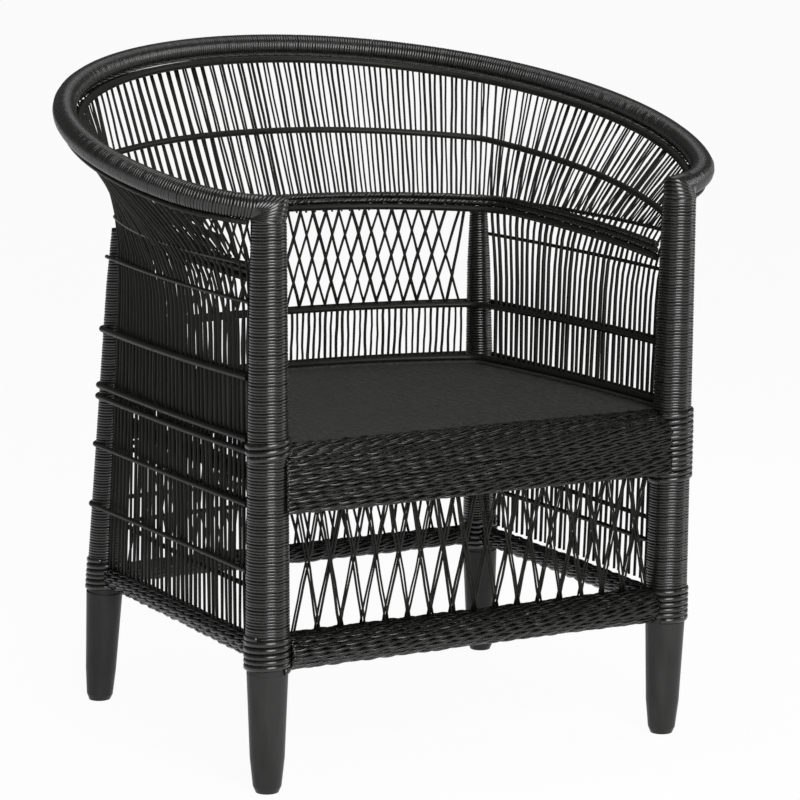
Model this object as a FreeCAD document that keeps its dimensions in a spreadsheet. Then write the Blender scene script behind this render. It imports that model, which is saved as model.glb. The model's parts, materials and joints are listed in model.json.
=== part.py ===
import FreeCAD, Part
import math
import os
import Sketcher
from FreeCAD import Placement, Rotation, Vector

# A cane armchair: four bound poles, a tilted horseshoe rim, a flared fan of stakes and a woven seat.
# The frame is +Z up, the front faces -Y, and the origin is on the floor under the middle of the chair.

DIMENSIONS = {
    # Legs: where each axis meets the floor, and how far it has moved at the height of the arms
    "arm_height": 630.0,
    "front_foot_x": 251.0,
    "front_foot_y": -265.0,
    "front_lean_x": 2.0,
    "front_lean_y": -18.5,
    "rear_foot_x": 262.0,
    "rear_foot_y": 175.0,
    "rear_lean_x": -26.0,
    "rear_lean_y": -36.0,
    "rear_leg_height": 566.0,
    "leg_trim": 12.0,
    "toe_flat_radius": 12.5,
    "toe_radius": 15.5,
    "toe_rise": 7.0,
    "ankle_height": 38.0,
    "front_ankle_radius": 18.8,
    "rear_ankle_radius": 18.0,
    "braid_height": 133.0,
    "shoulder_height": 500.0,
    "front_shin_radius": 22.4,
    "front_bound_radius": 22.0,
    "front_shoulder_radius": 18.0,
    "front_top_radius": 16.3,
    "rear_shin_radius": 21.5,
    "rear_bound_radius": 19.5,
    "rear_shoulder_radius": 12.0,
    "rear_top_radius": 8.5,
    "binding": 2.5,
    "collar": 4.0,
    "collar_height": 40.0,
    # Rails: round poles with round tenons, end nailed through the legs
    "tenon_radius": 8.0,
    "tenon_gap": 9.0,
    "seat_rail_height": 356.0,
    "front_rail_radius": 17.0,
    "side_rail_height": 338.0,
    "side_rail_radius": 10.0,
    "side_rail_inset": 8.0,
    "back_rail_radius": 9.0,
    "back_rail_inset": 6.0,
    "low_rail_height": 153.0,
    "low_front_radius": 12.0,
    "low_rail_radius": 9.0,
    "low_front_band": 21.0,
    "low_band": 13.0,
    "nail_radius": 1.2,
    "nail_offset": 3.0,
    "nail_reach": 30.0,
    "nail_cover": 1.5,
    "band_gap": 1.0,
    # Rim: a round arc in a tilted plane, with tighter front corners that turn in over the front legs
    "rim_core_radius": 11.0,
    "rim_radius": 363.0,
    "rim_corner_radius": 150.0,
    "rim_end_heading": 25.1,
    "rim_end_run": 6.0,
    "rim_end_overhang": 14.0,
    "rim_tilt": 13.43,
    "rim_inner_hoop_radius": 4.5,
    "rim_inner_hoop_inset": 16.0,
    "rim_inner_hoop_drop": 12.4,
    "rim_outer_hoop_radius": 3.0,
    "rim_outer_hoop_inset": -1.0,
    "rim_outer_hoop_drop": 17.5,
    "rim_hoop_trim": 6.8,
    "dowel_radius": 4.0,
    "dowel_length": 38.0,
    # Flare: two layers of stakes from the waist to the rim, with one ring inside and two outside
    "stake_radius": 2.0,
    "flare_stake_radius": 1.2,
    "side_flare_radius": 1.5,
    "back_stake_radius": 1.3,
    "flare_pitch": 11.5,
    "inner_side_density": 1.5,
    "inner_corner_stakes": 2,
    "flare_base_height": 563.0,
    "flare_base_tilt": 0.6,
    "flare_inner_lift": 10.0,
    "inner_side_shift": 0.05,
    "outer_side_shift": 0.5,
    "inner_back_shift": 0.25,
    "outer_back_shift": 0.75,
    "flare_base_front_x": 258.0,
    "flare_base_front_gap": 20.0,
    "flare_base_side_x": 263.5,
    "flare_base_corner": 5.0,
    "flare_base_corner_x": 230.0,
    "flare_base_corner_y": 139.0,
    "flare_base_back_y": 190.4,
    "flare_layer": 4.0,
    "flare_layer_drop": 0.9,
    "flare_corner_share": 0.62,
    "flare_side_share": 0.608,
    "flare_top_inset": 8.0,
    "flare_top_drop": 14.0,
    "flare_top_start": 0.022,
    "flare_top_corner": 0.628,
    "flare_radius": 3.8,
    "flare_height": 585.0,
    "flare_tilt": 9.4,
    "flare_pivot_y": -261.5,
    "flare_front_x": 275.5,
    "flare_front_y": -217.8,
    "flare_corner_x": 216.6,
    "flare_corner_y": 129.8,
    "flare_corner_radius": 37.6,
    "flare_side_x": 297.0,
    "flare_back_y": 234.1,
    "waist_radius": 4.0,
    "waist_height": 547.6,
    "waist_tilt": 3.6,
    "waist_pivot_y": -252.0,
    "waist_front_x": 244.0,
    "waist_front_y": -252.0,
    "waist_corner_x": 184.8,
    "waist_corner_y": 58.5,
    "waist_corner_radius": 63.3,
    "waist_side_x": 256.9,
    "waist_back_y": 184.2,
    "rope_radius": 3.1,
    "rope_step": 6.4,
    "rope_outset": 1.0,
    "collar_ring_radius": 2.2,
    "collar_ring_height": 571.0,
    "collar_ring_tilt": 1.35,
    "collar_ring_pivot_y": -261.5,
    "collar_ring_front_x": 274.9,
    "collar_ring_front_y": -248.7,
    "collar_ring_corner_x": 226.6,
    "collar_ring_corner_y": 137.3,
    "collar_ring_corner_radius": 20.1,
    "collar_ring_side_x": 282.1,
    "collar_ring_back_y": 208.8,
    "waist_lower_height": 529.0,
    "waist_lower_tilt": 0.8,
    # Walls: stakes between inner and outer rings, which pass inside and outside the rear legs
    "wall_offset": 6.0,
    "wall_pitch": 11.0,
    "back_pitch": 7.5,
    "stake_margin": 4.0,
    "wall_bottom": 168.0,
    "wall_top": 532.0,
    "bend_gap": 0.8,
    "bend_reach": 9.0,
    "back_bow": 40.0,
    "clearance": 0.4,
    "ring_slack": 1.8,
    "ring_groove": 2.2,
    "inner_corner_radius": 25.0,
    "mid_ring_height": 449.0,
    "mid_ring_radius": 3.5,
    "seat_ring_height": 382.5,
    "seat_ring_radius": 4.0,
    "seat_ring_outer_radius": 3.2,
    "seat_ring_gap": 13.0,
    "skirt_ring_height": 312.0,
    "low_ring_height": 240.0,
    "low_inner_height": 218.0,
    "skirt_ring_radius": 2.8,
    # Lattices: crossing canes in two layers
    "lattice_radius": 1.4,
    "back_layer": 1.7,
    "skirt_layer": 4.0,
    "front_layer": 1.8,
    "back_lattice_pitch": 17.0,
    "back_lattice_lean": 34.0,
    "back_lattice_top": 566.0,
    "front_lattice_pitch": 27.5,
    "front_lattice_lean": 27.5,
    "front_lattice_gap": 1.0,
    "cane_pair_gap": 3.4,
    # Seat: canes from front to back under a dense weave that rolls over the front rail
    "warp_radius": 3.0,
    "warp_pitch": 27.0,
    "warp_margin": 12.0,
    "warp_end_gap": 2.0,
    "weave_thickness": 5.0,
    "weave_gap": 0.3,
    "weave_edge_gap": 1.0,
    "weave_setback": 12.0,
    "seat_half_width": 247.0,
    "seat_side_x": 246.9,
    "seat_side_y": -60.0,
    "seat_rear_x": 231.5,
    "seat_rear_y": 128.0,
    "seat_corner_x": 212.0,
    "seat_corner_y": 143.9,
    "seat_back_y": 185.4,
    "apron_bottom": 308.0,
    "apron_rod_height": 314.0,
    "apron_rod_radius": 5.0,
    # Room under the floor that the feet are cut level with
    "floor_width": 1000.0,
    "floor_depth": 100.0,
}

doc = FreeCAD.newDocument("cane_armchair")
sheet = doc.addObject("Spreadsheet::Sheet", "dims")
for row, (alias, amount) in enumerate(DIMENSIONS.items(), start=1):
    sheet.set(f"A{row}", alias)
    sheet.set(f"B{row}", str(amount))
    sheet.setAlias(f"B{row}", alias)
doc.recompute()


class Size:
    """A length that carries both its value and the sheet expression that gives it."""

    def __init__(self, value, expression):
        self.value = value
        self.expression = expression

    def __add__(self, other):
        return Size(self.value + other.value, f"{self.expression} + {other.expression}")


def size(alias):
    return Size(float(sheet.get(alias)), f"dims.{alias}")


def number(alias):
    return float(sheet.get(alias))


def fixed(value):
    """A length that follows from the places of other pieces."""
    return Size(value, None)


parts = []


def keep(obj, label):
    """Names a finished sub-part."""
    obj.Label = label
    parts.append(obj)
    return obj


# Legs

def leg_axis(kind, height):
    """The place of a right hand leg's axis at a height."""
    share = height / number("arm_height")
    x = number(f"{kind}_foot_x") + share * number(f"{kind}_lean_x")
    y = number(f"{kind}_foot_y") + share * number(f"{kind}_lean_y")
    return Vector(x, y, height)


def leg_top(kind):
    return number("arm_height") if kind == "front" else number("rear_leg_height")


def pole_radius(kind, height):
    """A leg's radius under its binding: it tapers to a shoulder, and from there to the top."""
    low, shoulder, high = number("braid_height"), number("shoulder_height"), leg_top(kind)
    bound, middle, top = (number(f"{kind}_{place}_radius") for place in ("bound", "shoulder", "top"))
    if height < shoulder:
        return bound + (height - low) / (shoulder - low) * (middle - bound)
    return middle + (height - shoulder) / (high - shoulder) * (top - middle)


def bound_radius(kind, height):
    """The outside of a leg with its cane binding."""
    return pole_radius(kind, height) + number("binding")


def turned(label, outline, placement):
    """A body turned from an outline of (radius, height) points about its own Z axis."""
    body = doc.addObject("PartDesign::Body", label + "_body")
    plane = [o for o in body.Origin.OriginFeatures if o.Role == "XZ_Plane"][0]
    sketch = body.newObject("Sketcher::SketchObject", label + "_outline")
    sketch.AttachmentSupport = [(plane, "")]
    sketch.MapMode = "FlatFace"
    corners = [Vector(r.value, h.value, 0) for r, h in outline]
    count = len(corners)
    for i in range(count):
        sketch.addGeometry(Part.LineSegment(corners[i], corners[(i + 1) % count]))
    constrain_corners(sketch, outline)
    turn = body.newObject("PartDesign::Revolution", label + "_turn")
    turn.Profile = sketch
    turn.ReferenceAxis = (sketch, ["V_Axis"])
    turn.Angle = 360.0
    body.Placement = placement
    return body


def constrain_corners(sketch, outline):
    """Joins the outline's lines and ties each corner to its sizes."""
    count = len(outline)
    for i in range(count):
        sketch.addConstraint(Sketcher.Constraint("Coincident", i, 2, (i + 1) % count, 1))
    for i, (radius, height) in enumerate(outline):
        pairs = (("DistanceX", radius, -2), ("DistanceY", height, -1))
        for kind, length, axis in pairs:
            if length.value == 0.0:
                sketch.addConstraint(Sketcher.Constraint("PointOnObject", i, 1, axis))
                continue
            index = sketch.addConstraint(Sketcher.Constraint(kind, -1, 1, i, 1, length.value))
            if length.expression:
                sketch.setExpression(f"Constraints[{index}]", length.expression)


def leg_placement(kind, side):
    """Stands a turned leg on its axis, starting a trim length under the floor, with its seam inwards."""
    start = leg_axis(kind, -number("leg_trim"))
    end = leg_axis(kind, leg_top(kind))
    start.x *= side
    end.x *= side
    half_turn = Rotation(Vector(0, 0, 1), 180.0 if side > 0 else 0.0)
    return Placement(start, Rotation(Vector(0, 0, 1), end - start).multiply(half_turn))


zero = fixed(0.0)
sides = {"left": -1, "right": 1}
trim = size("leg_trim")
poles = {}
sleeves = {}
for kind in ("front", "rear"):
    shin = size(f"{kind}_shin_radius")
    bound = size(f"{kind}_bound_radius")
    top_radius = size(f"{kind}_top_radius")
    ankle = size(f"{kind}_ankle_radius")
    middle = size(f"{kind}_shoulder_radius")
    ankle_rise = size("ankle_height") + trim
    knee = size("braid_height") + trim
    shoulder = size("shoulder_height") + trim
    top = (size("arm_height") if kind == "front" else size("rear_leg_height")) + trim
    toe = trim + size("toe_rise")
    for side_name, side in sides.items():
        name = f"{kind}_{side_name}"
        pole = [(zero, zero), (size("toe_flat_radius"), zero), (size("toe_flat_radius"), trim),
                (size("toe_radius"), toe), (ankle, ankle_rise), (shin, knee), (bound, knee),
                (middle, shoulder), (top_radius, top), (zero, top)]
        poles[name] = turned(f"{name}_pole", pole, leg_placement(kind, side))
        collar_top = knee + size("collar_height")
        taper = fixed(bound_radius(kind, number("braid_height") + number("collar_height")))
        sleeve = [(bound, knee), (bound + size("collar"), knee), (bound + size("collar"), collar_top),
                  (taper, collar_top), (middle + size("binding"), shoulder),
                  (top_radius + size("binding"), top), (top_radius, top), (middle, shoulder)]
        sleeves[name] = turned(f"{name}_sleeve", sleeve, leg_placement(kind, side))


# Rails, with the nails that hold their tenons

leg_cutters = {name: [] for name in poles}
nails = []


def flip(point):
    """The same place on the other side of the chair."""
    return Vector(-point.x, point.y, point.z)


def along(start, end):
    """The placement of a straight piece that starts at one point and heads for another."""
    return Placement(start, Rotation(Vector(0, 0, 1), end - start))


def rail_ends(first, second, height, inset):
    """Where a rail's line passes the axes of its two legs, and the legs' outside radii there."""
    points, radii = [], []
    for name in (first, second):
        kind, side_name = name.split("_")
        point = leg_axis(kind, height)
        point.x = (point.x - inset) * sides[side_name]
        points.append(point)
        radii.append(bound_radius(kind, height))
    return points, radii


def add_nail(leg, axis_point, direction, lift):
    """A nail along a rail's axis, driven from the far side of the leg into the tenon."""
    kind = leg.split("_")[0]
    set_back = pole_radius(kind, axis_point.z) - number("nail_cover")
    start = axis_point - direction * set_back + Vector(0, 0, lift)
    length = pole_radius(kind, axis_point.z) + number("nail_reach")
    nail = doc.addObject("Part::Cylinder", "nail")
    nail.setExpression("Radius", "dims.nail_radius")
    nail.Height = length
    nail.Placement = along(start, start + direction)
    nails.append(nail)
    leg_cutters[leg].append(nail)
    return nail


def add_rail(label, legs, height_name, radius_name, lift, inset):
    """A round rail between two legs, with a round tenon into each."""
    first, second = legs
    points, radii = rail_ends(first, second, number(height_name), inset)
    direction = (points[1] - points[0]).normalize()
    gap = number("tenon_gap")
    start = points[0] + direction * gap
    length = (points[1] - points[0]).Length - 2 * gap
    left = fixed(radii[0] + number("clearance") - gap)
    right = fixed(length - (radii[1] + number("clearance") - gap))
    whole = fixed(length)
    tenon, body = size("tenon_radius"), size(radius_name)
    outline = [(zero, zero), (tenon, zero), (tenon, left), (body, left), (body, right), (tenon, right),
               (tenon, whole), (zero, whole)]
    rail = turned(label + "_pole", outline, along(start, start + direction))
    bites = [add_nail(first, points[0], direction, lift), add_nail(second, points[1], direction * -1, lift)]
    for leg in (first, second):
        leg_cutters[leg].append(rail)
    stop = number("collar") - number("binding") + number("band_gap")
    return rail, bites, (start + direction * (left.value + stop), start + direction * (right.value - stop))


def cut(label, base, tools):
    """A piece with the room for its neighbours taken out."""
    tool = tools[0]
    if len(tools) > 1:
        tool = doc.addObject("Part::Compound", label + "_room")
        tool.Links = tools
    piece = doc.addObject("Part::Cut", label)
    piece.Base = base
    piece.Tool = tool
    return piece


def add_band(label, inner_name, outer_name, ends):
    """A twined band round a low rail, as a sleeve between its two legs."""
    inner, outer = size(inner_name), size(outer_name)
    length = fixed((ends[1] - ends[0]).Length)
    outline = [(inner, zero), (outer, zero), (outer, length), (inner, length)]
    keep(turned(label, outline, along(ends[0], ends[1])), label)


FRONT, BACK = ("front_left", "front_right"), ("rear_left", "rear_right")
LEFT, RIGHT = ("front_left", "rear_left"), ("front_right", "rear_right")
cross_lift, side_lift = number("nail_offset"), -number("nail_offset")
side_inset = number("side_rail_inset")
RAILS = [
    ("front_seat_rail", FRONT, "seat_rail_height", "front_rail_radius", cross_lift, 0.0, None),
    ("left_seat_rail", LEFT, "side_rail_height", "side_rail_radius", side_lift, side_inset, None),
    ("right_seat_rail", RIGHT, "side_rail_height", "side_rail_radius", side_lift, side_inset, None),
    ("front_low_rail", FRONT, "low_rail_height", "low_front_radius", cross_lift, 0.0, "low_front_band"),
    ("back_low_rail", BACK, "low_rail_height", "low_rail_radius", cross_lift, 0.0, "low_band"),
    ("left_low_rail", LEFT, "low_rail_height", "low_rail_radius", side_lift, 0.0, "low_band"),
    ("right_low_rail", RIGHT, "low_rail_height", "low_rail_radius", side_lift, 0.0, "low_band"),
]
for label, legs, height_name, radius_name, lift, inset, band in RAILS:
    rail, bites, ends = add_rail(label, legs, height_name, radius_name, lift, inset)
    keep(cut(label, rail, bites), label)
    if band:
        add_band(label.replace("rail", "band"), radius_name, band, ends)


# Hoops: planar horseshoes of tangent arcs, drawn in their own tilted plane

def arc(centre, radius, start, end):
    """An arc in the drawing plane, by angles in radians."""
    at = [centre + Vector(math.cos(a), math.sin(a), 0) * radius for a in (start, (start + end) / 2, end)]
    return Part.Arc(*at).toShape()


def horseshoe(front, corner, radius, side_x, back_y):
    """The right half of a hoop, front to back: a side arc that is side_x out at its middle, a round
    corner about a centre, and a back arc that crosses the middle plane at back_y."""
    chord = corner + Vector(radius, 0, 0) - front
    sag = front.x + chord.x / 2 - side_x
    lean = math.atan2(chord.x, chord.y) + 2 * math.atan(2 * sag / chord.Length)
    tangent = corner + Vector(math.cos(lean), -math.sin(lean), 0) * radius
    heading = Vector(-math.sin(lean), -math.cos(lean), 0)
    chord = front - tangent
    square = Vector(-chord.y, chord.x, 0)
    bend = math.atan2(heading.dot(square), heading.dot(chord))
    half_way = tangent + chord * 0.5 + square * (math.tan(bend / 2) / 2)
    side = Part.Arc(front, half_way, tangent).toShape()
    rise = corner.y - back_y
    back_radius = (radius ** 2 - corner.x ** 2 - rise ** 2) / (2 * (rise + radius))
    back_centre = Vector(0, back_y - back_radius, 0)
    meet = math.atan2(corner.y - back_centre.y, corner.x)
    return [side, arc(corner, radius, -lean, meet), arc(back_centre, back_radius, meet, math.pi / 2)]


def tilted(height, tilt, pivot_y):
    """The placement of a drawing plane that is at a height at pivot_y and rises to the back."""
    lift = Placement(Vector(0, pivot_y, height), Rotation(Vector(1, 0, 0), tilt))
    return lift.multiply(Placement(Vector(0, -pivot_y, 0), Rotation()))


def whole_wire(half):
    """Both halves of a hoop as one wire."""
    other = [edge.mirror(Vector(), Vector(1, 0, 0)) for edge in half]
    return Part.Wire(Part.__sortEdges__(half + other))


def swept(label, wire, placement, radius):
    """A round cane bent along a line of arcs."""
    path = doc.addObject("Part::Feature", label + "_path")
    path.Shape = wire
    section = doc.addObject("Part::Circle", label + "_section")
    section.Radius = radius.value
    section.setExpression("Radius", radius.expression)
    first = path.Shape.OrderedEdges[0]
    start = path.Shape.OrderedVertexes[0].Point
    direction = first.tangentAt(first.Curve.parameter(start))
    section.Placement = Placement(start, Rotation(Vector(0, 0, 1), direction))
    sweep = doc.addObject("Part::Sweep", label)
    sweep.Sections = [section]
    sweep.Spine = (path, [f"Edge{i + 1}" for i in range(len(path.Shape.Edges))])
    sweep.Solid = True
    sweep.Frenet = False
    sweep.Placement = placement
    return sweep


# Rim

def rim_half(inset, run, trim_angle):
    """Half of the rim's line, or of a hoop inset from it: end run, front corner and round back."""
    round_radius, corner = number("rim_radius"), number("rim_corner_radius")
    heading = math.radians(number("rim_end_heading"))
    end_run = number("rim_end_run")
    tip = leg_axis("front", number("arm_height"))
    cosine = (tip.x + end_run * math.cos(heading) - corner * math.sin(heading)) / (round_radius - corner)
    phi = math.acos(cosine)
    drop = ((round_radius - corner) * math.sin(phi) + corner * math.cos(heading)
            + end_run * math.sin(heading))
    centre = Vector(0, tip.y + drop, 0)
    corner_centre = centre + Vector(math.cos(phi), -math.sin(phi), 0) * (round_radius - corner)
    front_angle = heading - math.pi / 2 + math.radians(trim_angle)
    edges = []
    if run:
        start = corner_centre + Vector(math.cos(front_angle), math.sin(front_angle), 0) * corner
        back_along = Vector(math.cos(heading), math.sin(heading), 0) * run
        edges.append(Part.LineSegment(start - back_along, start).toShape())
    edges.append(arc(corner_centre, corner - inset, front_angle, -phi))
    edges.append(arc(centre, round_radius - inset, -phi, math.pi / 2))
    return edges


rim_pivot = leg_axis("front", number("arm_height")).y
rim_plane = tilted(number("arm_height"), number("rim_tilt"), rim_pivot)


def below_rim(drop):
    """The rim's plane, moved down."""
    return Placement(Vector(0, 0, -drop), Rotation()).multiply(rim_plane)


rim_line = rim_half(0.0, number("rim_end_run") + number("rim_end_overhang"), 0.0)
rim_core = swept("rim_pole", whole_wire(rim_line), rim_plane, size("rim_core_radius"))
skin_radius = size("rim_core_radius") + size("binding")
rim_skin = swept("rim_envelope", whole_wire(rim_line), rim_plane, skin_radius)
dowels = []
for side in sides.values():
    dowel = doc.addObject("Part::Cylinder", "dowel")
    dowel.setExpression("Radius", "dims.dowel_radius")
    dowel.setExpression("Height", "dims.dowel_length")
    base = leg_axis("front", number("arm_height") - number("dowel_length"))
    dowel.Placement = Placement(Vector(base.x * side, base.y, base.z), Rotation())
    dowels.append(dowel)
keep(cut("rim_core", rim_core, dowels), "rim_core")
keep(cut("rim_binding", rim_skin, [rim_core] + dowels), "rim_binding")
hoop_trim = number("rim_hoop_trim")
for name in ("rim_inner_hoop", "rim_outer_hoop"):
    line = whole_wire(rim_half(number(f"{name}_inset"), 0.0, hoop_trim))
    keep(swept(name, line, below_rim(number(f"{name}_drop")), size(f"{name}_radius")), name)


# Bent back rail of the seat, in full size sockets

def bow_at(height):
    """How far the back wall is bowed out at a height: straight at the low rail, full at the seat."""
    share = (height - number("low_rail_height")) / (number("seat_rail_height") - number("low_rail_height"))
    return number("back_bow") * min(1.0, max(0.0, share))


def back_point(x, height, layer=0.0):
    """A point of the back wall's stakes."""
    axis = leg_axis("rear", height)
    bow = bow_at(height) * (1 - (x / axis.x) ** 2)
    return Vector(x, axis.y + number("wall_offset") + layer + bow, height)


seat_height = number("seat_rail_height")
rail_back = back_point(0.0, seat_height).y - number("stake_radius") - number("back_rail_radius")
rail_back -= number("clearance")
rail_end = leg_axis("rear", seat_height)
rail_tip = Vector(rail_end.x - number("tenon_gap"), rail_end.y - number("back_rail_inset"), seat_height)
back_arc = Part.Arc(flip(rail_tip), Vector(0, rail_back, seat_height), rail_tip)
back_rail = swept("back_seat_rail", Part.Wire([back_arc.toShape()]), Placement(), size("back_rail_radius"))
keep(back_rail, "back_seat_rail")
for leg in BACK:
    leg_cutters[leg].append(back_rail)

# Cane rod along the bottom of the apron

rod_height = number("apron_rod_height")
front_axis = leg_axis("front", seat_height)
skirt_y = front_axis.y - number("front_rail_radius") - number("clearance")
rod_y = skirt_y + number("apron_rod_radius") + number("clearance")
rod_x = leg_axis("front", rod_height).x - number("tenon_gap")
rod = doc.addObject("Part::Cylinder", "apron_rod_cane")
rod.setExpression("Radius", "dims.apron_rod_radius")
rod.Height = 2 * rod_x
rod.Placement = along(Vector(-rod_x, rod_y, rod_height), Vector(rod_x, rod_y, rod_height))
keep(rod, "apron_rod")
for leg in FRONT:
    leg_cutters[leg].append(rod)

# Rings round the walls

def wall_point(share, height):
    """A point of the right wall's stakes: straight canes from the low rail to the waist hoop."""
    ends = []
    for level in (number("wall_bottom"), number("wall_top")):
        front, rear = leg_axis("front", level), leg_axis("rear", level)
        ends.append(front + (rear - front) * share)
    ends[0].x += number("wall_offset")
    bulge = number("waist_side_x") + number("waist_radius") + number("stake_radius") + number("clearance")
    straight = (leg_axis("front", number("wall_top")).x + leg_axis("rear", number("wall_top")).x) / 2
    ends[1].x += number("wall_offset") + 4 * share * (1 - share) * (bulge - straight - number("wall_offset"))
    rise = (height - ends[0].z) / (ends[1].z - ends[0].z)
    return ends[0] + (ends[1] - ends[0]) * rise


outer_rings = []


def lattice_depth(height):
    """Half the thickness of the back's crossing canes at a height."""
    layer = "back_layer" if height > number("seat_rail_height") else "skirt_layer"
    return number(layer) + number("lattice_radius")


def outer_line(height, radius, groove):
    """Half the line of a ring outside the stakes and round the backs of the rear legs, and its front end."""
    reach = number("stake_radius") + radius + number("clearance")
    front, rear = leg_axis("front", height), leg_axis("rear", height)
    outside = bound_radius("front", height) + radius
    step = number("wall_offset") + reach + number("ring_slack")
    front += Vector(step, math.sqrt(outside ** 2 - step ** 2) + number("ring_slack"), 0)
    front.z = rear.z = 0.0
    corner_radius = bound_radius("rear", height) + radius - groove
    side_x = wall_point(0.5, height).x + reach + number("ring_slack")
    lattice_reach = lattice_depth(height) + radius + number("ring_slack")
    back_y = max(back_point(0.0, height).y + lattice_reach, rear.y + corner_radius + number("ring_slack"))
    return horseshoe(front, rear, corner_radius, side_x, back_y), front.y


def outer_ring(label, height, radius_name):
    """A ring outside the stakes, in a groove of the rear legs' bindings."""
    half, front_y = outer_line(height, number(radius_name), number("ring_groove"))
    ring = swept(label, whole_wire(half), tilted(height, 0.0, front_y), size(radius_name))
    outer_rings.append(keep(ring, label))


def side_canes(label, height, radius_name, tilt):
    """A cane outside each wall, from the front leg to the binding of the rear leg."""
    half, front_y = outer_line(height, number(radius_name), -number("clearance"))
    lines = {"right": half[0], "left": half[0].mirror(Vector(), Vector(1, 0, 0))}
    canes = []
    for side, line in lines.items():
        place = tilted(height, tilt, front_y)
        canes.append(swept(f"{label}_{side}", Part.Wire([line]), place, size(radius_name)))
    group = doc.addObject("Part::Compound", label)
    group.Links = canes
    keep(group, label)


def inner_ring(label, height, radius_name):
    """A ring inside the stakes that passes in front of the rear legs."""
    radius = number(radius_name)
    reach = number("stake_radius") + radius + number("clearance")
    front, rear = leg_axis("front", height), leg_axis("rear", height)
    front.y += bound_radius("front", height) + number("ring_slack")
    front.z = rear.z = 0.0
    bend = number("inner_corner_radius")
    clear = bound_radius("rear", height) + radius + number("clearance")
    corner = rear - Vector(1, 1, 0) * ((bend + clear) / math.sqrt(2))
    side_x = wall_point(0.5, height).x - reach - number("ring_slack")
    lattice_reach = lattice_depth(height) + radius + number("ring_slack")
    back_y = back_point(0.0, height).y - lattice_reach
    half = horseshoe(front, corner, bend, side_x, back_y)
    keep(swept(label, whole_wire(half), tilted(height, 0.0, front.y), size(radius_name)), label)


seat_ring = number("seat_ring_height")
waist_tilt = number("waist_lower_tilt")
side_canes("waist_lower_ring", number("waist_lower_height"), "collar_ring_radius", waist_tilt)
outer_ring("mid_outer_ring", number("mid_ring_height"), "mid_ring_radius")
outer_ring("seat_upper_ring", seat_ring, "seat_ring_outer_radius")
outer_ring("seat_lower_ring", seat_ring - number("seat_ring_gap"), "seat_ring_outer_radius")
outer_ring("skirt_outer_ring", number("skirt_ring_height"), "skirt_ring_radius")
outer_ring("low_outer_ring", number("low_ring_height"), "skirt_ring_radius")
inner_ring("mid_inner_ring", number("mid_ring_height"), "mid_ring_radius")
inner_ring("seat_inner_ring", seat_ring, "seat_ring_radius")
inner_ring("skirt_inner_ring", number("skirt_ring_height"), "skirt_ring_radius")
inner_ring("low_inner_ring", number("low_inner_height"), "skirt_ring_radius")

# Legs and their bindings, cut for the floor, the rim, the rails, the nails and the rings

floor = doc.addObject("Part::Box", "floor_room")
floor.setExpression("Length", "dims.floor_width")
floor.setExpression("Width", "dims.floor_width")
floor.setExpression("Height", "dims.floor_depth")
floor_edge = -number("floor_width") / 2
floor.Placement = Placement(Vector(floor_edge, floor_edge, -number("floor_depth")), Rotation())
for name in poles:
    kind = name.split("_")[0]
    tools = list(leg_cutters[name])
    above = [rim_skin] + [dowels[0 if name.endswith("left") else 1]] if kind == "front" else []
    keep(cut(f"{name}_leg", poles[name], [floor] + above + tools), f"{name}_leg")
    binding = cut(f"{name}_socketed", sleeves[name], above + tools)
    for ring in outer_rings if kind == "rear" else []:
        binding = cut(f"{name}_grooved", binding, [ring])
    keep(binding, f"{name}_binding")

# Waist hoop with its two twined ropes, and the ring inside the flare

def ring_half(group, outset):
    """Half of the line of a ring that is drawn from its own group of sizes, moved out by outset."""
    front = Vector(number(f"{group}_front_x") + outset, number(f"{group}_front_y"), 0)
    corner = Vector(number(f"{group}_corner_x"), number(f"{group}_corner_y"), 0)
    return horseshoe(front, corner, number(f"{group}_corner_radius") + outset,
                     number(f"{group}_side_x") + outset, number(f"{group}_back_y") + outset)


def ring_plane(group, rise=0.0):
    return tilted(number(f"{group}_height") + rise, number(f"{group}_tilt"), number(f"{group}_pivot_y"))


def drawn_ring(label, group, radius_name, rise=0.0, outset=0.0):
    """A ring drawn from its own group of sizes, moved up by rise and out by outset."""
    line = whole_wire(ring_half(group, outset))
    keep(swept(label, line, ring_plane(group, rise), size(radius_name)), label)


rope_step, rope_outset = number("rope_step"), number("rope_outset")
first_rope = number("waist_radius") + number("rope_radius") + number("clearance")
drawn_ring("waist_hoop", "waist", "waist_radius")
drawn_ring("waist_rope_lower", "waist", "rope_radius", first_rope, rope_outset)
drawn_ring("waist_rope_upper", "waist", "rope_radius", first_rope + rope_step, 2 * rope_outset)
drawn_ring("flare_ring", "flare", "flare_radius")
drawn_ring("waist_upper_ring", "collar_ring", "collar_ring_radius")

# Flare stakes

flare_front = leg_axis("front", number("flare_base_height"))
flare_front = Vector(number("flare_base_front_x"), flare_front.y + number("flare_base_front_gap"), 0)


def flare_base(outset):
    """The line of the flare stakes' lower ends, over the tops of the rear legs."""
    corner = Vector(number("flare_base_corner_x"), number("flare_base_corner_y"), 0)
    front = flare_front + Vector(outset, 0, 0)
    side_x = number("flare_base_side_x") + outset
    back_y = number("flare_base_back_y") + outset
    return horseshoe(front, corner, number("flare_base_corner") + outset, side_x, back_y)


CURVE_POINTS = 401


def evenly(edges, placement):
    """Points at even steps along half a hoop, front to back."""
    wire = Part.Wire(Part.__sortEdges__(edges))
    points = wire.discretize(Number=CURVE_POINTS)
    if points[0].y > points[-1].y:
        points.reverse()
    return [placement.multVec(p) for p in points]


def pick(points, share):
    """The point at a share of the way along evenly spaced points."""
    place = share * (len(points) - 1)
    low = min(int(place), len(points) - 2)
    return points[low] + (points[low + 1] - points[low]) * (place - low)


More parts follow.
